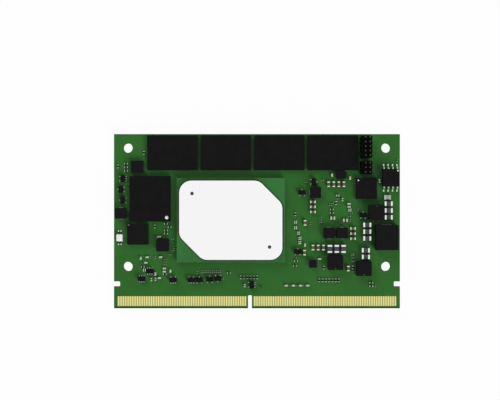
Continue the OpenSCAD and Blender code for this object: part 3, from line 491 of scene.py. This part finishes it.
# Leaded parts: body node, lead node, and solder reach and rise at each lead's toe, in millimetres
LEADED_PARTS = [
    ("boot_flash", "boot_flash_leads", 0.08, 0.12),
    ("regulator", "regulator_leads", 0.04, 0.08),
    ("transistors", "transistor_leads", 0.05, 0.08),
    ("indicator_lamp", "indicator_lamp_leads", 0.06, 0.1),
    ("main_inductor", "main_inductor_terminals", 0.06, 0.1),
    ("moulded_inductors", "moulded_inductor_terminals", 0.05, 0.1),
    ("wound_inductors", "wound_inductor_terminals", 0.05, 0.1),
]

# Pin-1 marks: paint, and the share of the dimple's width that it covers
MARKED_NODES = {
    "flash_chip": (WHITE_PAINT, 0.97),
    "right_controller": (WHITE_PAINT, 0.75),
    "boot_flash": (WHITE_PAINT, 0.97),
    "left_controller": (GREY_PAINT, 0.97),
    "moulded_inductors": (DARK_PAINT, 0.97),
}
BALL_NODES = ("processor_balls", "memory_balls", "flash_balls")
PIN_NODES = ("long_header_pins", "short_header_pins")


# Shapes

def whole_faces(node):
    """A node's mesh with shared corners welded and its flat triangles joined into whole faces."""
    made = bmesh.new()
    made.from_mesh(frame["nodes"][node].data)
    bmesh.ops.remove_doubles(made, verts=made.verts, dist=1e-7)
    bmesh.ops.dissolve_limit(made, angle_limit=math.radians(0.5), verts=made.verts, edges=made.edges)
    return made


def islands(made):
    """Groups of vertices, one for each separate solid."""
    left = set(made.verts)
    groups = []
    for start in made.verts:
        if start not in left:
            continue
        left.discard(start)
        group = [start]
        for vert in group:
            near = [edge.other_vert(vert) for edge in vert.link_edges]
            fresh = [other for other in near if other in left]
            left.difference_update(fresh)
            group.extend(fresh)
        groups.append(group)
    return groups


def span(group):
    """Lowest and highest corner of a group of vertices."""
    low = Vector([min(vert.co[i] for vert in group) for i in range(3)])
    high = Vector([max(vert.co[i] for vert in group) for i in range(3)])
    return low, high


def spans(node):
    """Lowest and highest corner of each solid in a node."""
    made = whole_faces(node)
    found = [span(group) for group in islands(made)]
    made.free()
    return found


def add_piece(name, made, material, slot, *replaced):
    """Turns a mesh under construction into a piece of the object."""
    bmesh.ops.recalc_face_normals(made, faces=made.faces)
    for face in made.faces:
        face.smooth = True
    mesh = bpy.data.meshes.new(name)
    made.to_mesh(mesh)
    made.free()
    mesh.materials.append(material)
    piece = bpy.data.objects.new(name, mesh)
    bpy.context.scene.collection.objects.link(piece)
    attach(piece, "root")
    if replaced:
        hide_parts(*replaced)
    return piece


def soften(piece, width, method="ANGLE", segments=2):
    """Rounds a piece's edges."""
    bevel = piece.modifiers.new("soft_edges", "BEVEL")
    bevel.width = width * MM
    bevel.segments = segments
    bevel.limit_method = method
    bevel.angle_limit = math.radians(EDGE_TURN)
    piece.modifiers.new("flat_faces", "WEIGHTED_NORMAL").weight = 100


def finish(node):
    """The material of a node: its own, or that of its slot."""
    return FINISH_OF_NODE.get(node, FINISH_OF[SLOT_OF[node]])


def mark_odd_chips(piece, node):
    """Gives single chips of a node the finish that they have in place of the node's own."""
    for x, y, material in ODD_CHIPS.get(node, []):
        index = len(piece.data.materials)
        piece.data.materials.append(material)
        for face in piece.data.polygons:
            if math.hypot(face.center.x - x * MM, face.center.y - y * MM) < ODD_CHIP_REACH * MM:
                face.material_index = index


def finished(node):
    """A node's own form with softened edges and its finish."""
    slot = SLOT_OF[node]
    piece = add_piece(node + "_finished", whole_faces(node), finish(node), slot, node)
    mark_odd_chips(piece, node)
    soften(piece, EDGE_OF_NODE.get(node, EDGE_OF_SLOT[slot]))


def outward(low, high, bodies):
    """The level direction from the nearest body to a terminal, along X or Y."""
    middle = (low + high) / 2
    offsets = [middle - (body_low + body_high) / 2 for body_low, body_high in bodies]
    away = min(offsets, key=lambda offset: offset.length)
    axis = 0 if abs(away.x) > abs(away.y) else 1
    direction = Vector((0, 0, 0))
    direction[axis] = math.copysign(1, away[axis])
    return direction


def rounded_ends(body_node, node, radius):
    """Chip terminals: round at their outer ends, and thin where they lie on the body."""
    bodies = spans(body_node)
    made = whole_faces(node)
    weight = made.edges.layers.float.new("bevel_weight_edge")
    for group in islands(made):
        low, high = span(group)
        out = outward(low, high, bodies)
        middle = (low + high) / 2
        for edge in {edge for vert in group for edge in vert.link_edges}:
            ends = [out.dot(vert.co - middle) for vert in edge.verts]
            if min(ends) > 0:
                edge[weight] = 1
            elif max(ends) < 0:
                edge[weight] = 0.2
            else:
                edge[weight] = 0.6
    slot = SLOT_OF[node]
    piece = add_piece(node + "_finished", made, finish(node), slot, node)
    mark_odd_chips(piece, node)
    soften(piece, radius, method="WEIGHT", segments=3)


def add_fillet(made, low, high, out, reach, rise, base):
    """A hollow ramp of solder up a terminal's end, from the card's face at the level base."""
    steps = 5
    width_share = 0.92
    sink = 0.05 * MM
    across = Vector((-out.y, out.x, 0))
    middle = (low + high) / 2
    half_out = abs(out.dot(high - low)) / 2
    half_across = abs(across.dot(high - low)) / 2 * width_share
    up = math.copysign(rise * MM, middle.z - base)
    foot = Vector((middle.x, middle.y, base)) + out * half_out
    turns = [math.pi / 2 * i / steps for i in range(steps + 1)]
    profile = [(-sink, 0)]
    profile += [(reach * MM * (1 - math.sin(turn)), up * (1 - math.cos(turn))) for turn in turns]
    profile += [(-sink, up)]
    rings = []
    for side in (-1, 1):
        ring = []
        for along, height in profile:
            spot = foot + out * along + across * side * half_across
            ring.append(made.verts.new((spot.x, spot.y, base + height)))
        rings.append(ring)
        made.faces.new(ring)
    count = len(profile)
    for i in range(count):
        j = (i + 1) % count
        made.faces.new((rings[0][i], rings[0][j], rings[1][j], rings[1][i]))


def revolve(made, centre, profile, steps=24):
    """A closed turned form on an upright axis, from (radius, height) pairs that start and end on it."""
    rings = []
    for radius, height in profile:
        count = steps if radius > 0 else 1
        turns = [2 * math.pi * i / steps for i in range(count)]
        spots = [(radius * math.cos(turn), radius * math.sin(turn), height) for turn in turns]
        rings.append([made.verts.new(centre + Vector(spot)) for spot in spots])
    for lower, upper in zip(rings, rings[1:]):
        for i in range(steps):
            j = (i + 1) % steps
            corners = [lower[k % len(lower)] for k in (i, j)]
            corners += [upper[k % len(upper)] for k in (j, i)]
            made.faces.new(list(dict.fromkeys(corners)))


def solder_balls(node):
    """Barrel-shaped soldered balls in place of the straight ones."""
    levels = 6
    curve = 0.62
    made = bmesh.new()
    for low, high in spans(node):
        radius = (high.x - low.x) / 2
        height = high.z - low.z
        profile = [(0, 0)]
        for i in range(levels + 1):
            bulge = math.cos(math.pi / 2 * (2 * i / levels - 1) * curve)
            profile.append((radius * bulge, height * i / levels))
        profile.append((0, height))
        foot = (low + high) / 2
        foot.z = low.z
        revolve(made, foot, profile, steps=14)
    add_piece(node + "_finished", made, SOLDER, SLOT_OF[node], node)


def chip_solder():
    """Solder at the ends of all chip parts and leads."""
    made = bmesh.new()
    rows = [(body, ends, reach, rise) for body, ends, _, reach, rise in CHIP_PARTS]
    for body_node, end_node, reach, rise in rows + LEADED_PARTS:
        base = CARD_UNDER if end_node.startswith("underside") else CARD_TOP
        bodies = spans(body_node)
        for low, high in spans(end_node):
            add_fillet(made, low, high, outward(low, high, bodies), reach, rise, base)
    add_piece("solder_fillets", made, SOLDER, "solder")


def header_solder():
    """Solder cones round the header pins on the card's underside."""
    made = bmesh.new()
    cone = [(0, 0), (0.5, 0), (0.47, -0.03), (0.36, -0.08), (0.3, -0.16), (0.27, -0.26), (0, -0.28)]
    for node in PIN_NODES:
        for low, high in spans(node):
            foot = (low + high) / 2
            foot.z = CARD_UNDER
            revolve(made, foot, [(radius * MM, height * MM) for radius, height in cone])
    add_piece("header_solder", made, SOLDER, "solder")


def outline(node):
    """Corners of the convex outline of a node from above, counter-clockwise, in X and Y."""
    made = whole_faces(node)
    spots = sorted({(round(vert.co.x, 7), round(vert.co.y, 7)) for vert in made.verts})
    made.free()
    sides = []
    for order in (spots, spots[::-1]):
        side = []
        for spot in order:
            while len(side) > 1 and turn(side[-2], side[-1], spot) <= 1e-12:
                side.pop()
            side.append(spot)
        sides += side[:-1]
    return [Vector(spot) for spot in sides]


def turn(first, second, third):
    """Above zero where the way from the first to the third spot turns left at the second."""
    ahead = (second[0] - first[0], second[1] - first[1])
    onward = (third[0] - second[0], third[1] - second[1])
    return ahead[0] * onward[1] - ahead[1] * onward[0]


def lid_glue_and_shade():
    """A bead of adhesive round the lid's foot, made black as painted contact shadow."""
    reach, rise, sink = 0.3 * MM, 0.12 * MM, 0.05 * MM
    profile = ((-sink, 0), (reach, 0), (reach * 0.5, rise * 0.6), (-sink, rise))
    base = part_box("processor_lid")[0].z
    made = bmesh.new()
    corners = outline("processor_lid")
    rings = []
    for before, corner, after in zip(corners[-1:] + corners[:-1], corners, corners[1:] + corners[:1]):
        along = (corner - before).normalized() + (after - corner).normalized()
        out = Vector((along.y, -along.x)).normalized()
        spots = [(*(corner + out * away), base + height) for away, height in profile]
        rings.append([made.verts.new(spot) for spot in spots])
    for ring, onward in zip(rings, rings[1:] + rings[:1]):
        for i in range(len(profile)):
            made.faces.new((ring[i], ring[i - 1], onward[i - 1], onward[i]))
    add_piece("lid_glue_and_shade", made, GLUE_AND_SHADE, "thermal_pad")


def vent_plugs():
    """Grey compound that closes the lid's vents, a little below the lid's top."""
    same_level, inset, depth, thick = 0.01 * MM, 2 * MM, 0.4 * MM, 0.15 * MM
    low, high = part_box("processor_lid")
    middle = (low + high) / 2
    solid = whole_faces("processor_lid")
    top = [vert.co for vert in solid.verts if high.z - vert.co.z < same_level]
    inner = [spot for spot in top if min(*(spot - low).xy, *(high - spot).xy) > inset]
    made = bmesh.new()
    for side in (-1, 1):
        rim = [spot for spot in inner if (spot.x - middle.x) * side > 0]
        centre = sum(rim, Vector()) / len(rim)
        radius = max((spot - centre).length for spot in rim) * 0.98
        centre.z = high.z - depth
        plug = [(0, 0), (radius, 0), (radius, thick), (radius * 0.7, thick * 0.8), (0, thick * 0.7)]
        revolve(made, centre, plug, steps=32)
    solid.free()
    add_piece("vent_plugs", made, PLUG, "thermal_pad")


def pin_marks(node, material, share):
    """Flat drops of paint in a node's pin-1 dimples."""
    solid = whole_faces(node)
    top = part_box(node)[1].z
    made = bmesh.new()
    for face in solid.faces:
        depth = top - face.calc_center_median().z
        if face.normal.z > 0.99 and 0.01 * MM < depth < 0.2 * MM:
            centre = face.calc_center_bounds()
            radius = max((vert.co - centre).length for vert in face.verts) * share
            drop = [(0, 0), (radius, 0), (radius, depth * 0.5)]
            drop += [(radius * 0.9, depth * 0.75), (0, depth * 0.85)]
            revolve(made, centre, drop, steps=32)
    solid.free()
    add_piece(node + "_mark", made, material, SLOT_OF[node])


def build_object():
    made_apart = set(BALL_NODES)
    for node in BALL_NODES:
        solder_balls(node)
    for body_node, end_node, radius, _, _ in CHIP_PARTS:
        rounded_ends(body_node, end_node, radius)
        made_apart.add(end_node)
    for node in frame["nodes"]:
        if node not in made_apart:
            finished(node)
    chip_solder()
    header_solder()
    lid_glue_and_shade()
    vent_plugs()
    for node, (material, share) in MARKED_NODES.items():
        pin_marks(node, material, share)


# Stage

def build_floor():
    made = bmesh.new()
    bmesh.ops.create_grid(made, x_segments=1, y_segments=1, size=FLOOR_HALF)
    mesh = bpy.data.meshes.new("floor")
    made.to_mesh(mesh)
    made.free()
    mesh.materials.append(white_floor())
    floor = bpy.data.objects.new("floor", mesh)
    bpy.context.scene.collection.objects.link(floor)


def add_lamp(name, strength, place):
    """A wide lamp far away, in the direction of this place; metal mirrors the sky and not the lamp."""
    lamp = bpy.data.lights.new(name, "SUN")
    lamp.energy = strength
    lamp.angle = math.radians(LAMP_SPREAD)
    holder = bpy.data.objects.new(name, lamp)
    holder.location = place
    holder.rotation_euler = (-place).to_track_quat("-Z", "Y").to_euler()
    holder.visible_glossy = False
    bpy.context.scene.collection.objects.link(holder)


def build_light():
    world = bpy.data.worlds.new("studio")
    world.use_nodes = True
    bpy.context.scene.world = world
    tree = world.node_tree
    towards = tree.nodes.new("ShaderNodeSeparateXYZ")
    tree.links.new(tree.nodes.new("ShaderNodeTexCoord").outputs["Generated"], towards.inputs[0])
    sky = tree.nodes.new("ShaderNodeMapRange")
    sky.interpolation_type = "SMOOTHSTEP"
    sky.inputs["From Max"].default_value = SKY_FULL_AT
    sky.inputs["To Min"].default_value = SKY_EDGE
    tree.links.new(towards.outputs["Z"], sky.inputs["Value"])
    backdrop = tree.nodes.new("ShaderNodeMath")
    backdrop.operation = "MAXIMUM"
    tree.links.new(sky.outputs[0], backdrop.inputs[0])
    tree.links.new(tree.nodes.new("ShaderNodeLightPath").outputs["Is Camera Ray"], backdrop.inputs[1])
    strength = tree.nodes.new("ShaderNodeMapRange")
    strength.inputs["To Min"].default_value = AMBIENT
    tree.links.new(backdrop.outputs[0], strength.inputs["To Max"])
    tree.links.new(seen_directly(tree), strength.inputs["Value"])
    background = tree.nodes["Background"]
    background.inputs["Color"].default_value = (1, 1, 1, 1)
    tree.links.new(strength.outputs[0], background.inputs["Strength"])
    add_lamp("main_lamp", MAIN_STRENGTH, MAIN_FROM)
    add_lamp("fill_lamp", FILL_STRENGTH, FILL_FROM)


def build_camera():
    """Straight down, as the photograph looks, over the point in its middle."""
    camera = bpy.data.cameras.new("camera")
    camera.lens = LENS
    camera.sensor_width = SENSOR
    distance = PHOTO_W * MM_PER_PX * LENS / SENSOR
    right = (PHOTO_W / 2 - CARD_MIDDLE_PX[0]) * MM_PER_PX
    up = (CARD_MIDDLE_PX[1] - PHOTO_H / 2) * MM_PER_PX
    holder = bpy.data.objects.new("camera", camera)
    holder.location = Vector((right, up, distance)) * MM + Vector((0, 0, CARD_TOP))
    bpy.context.scene.collection.objects.link(holder)
    bpy.context.scene.camera = holder


build_object()
build_floor()
build_light()
build_camera()
bpy.context.scene.view_settings.view_transform = "Standard"
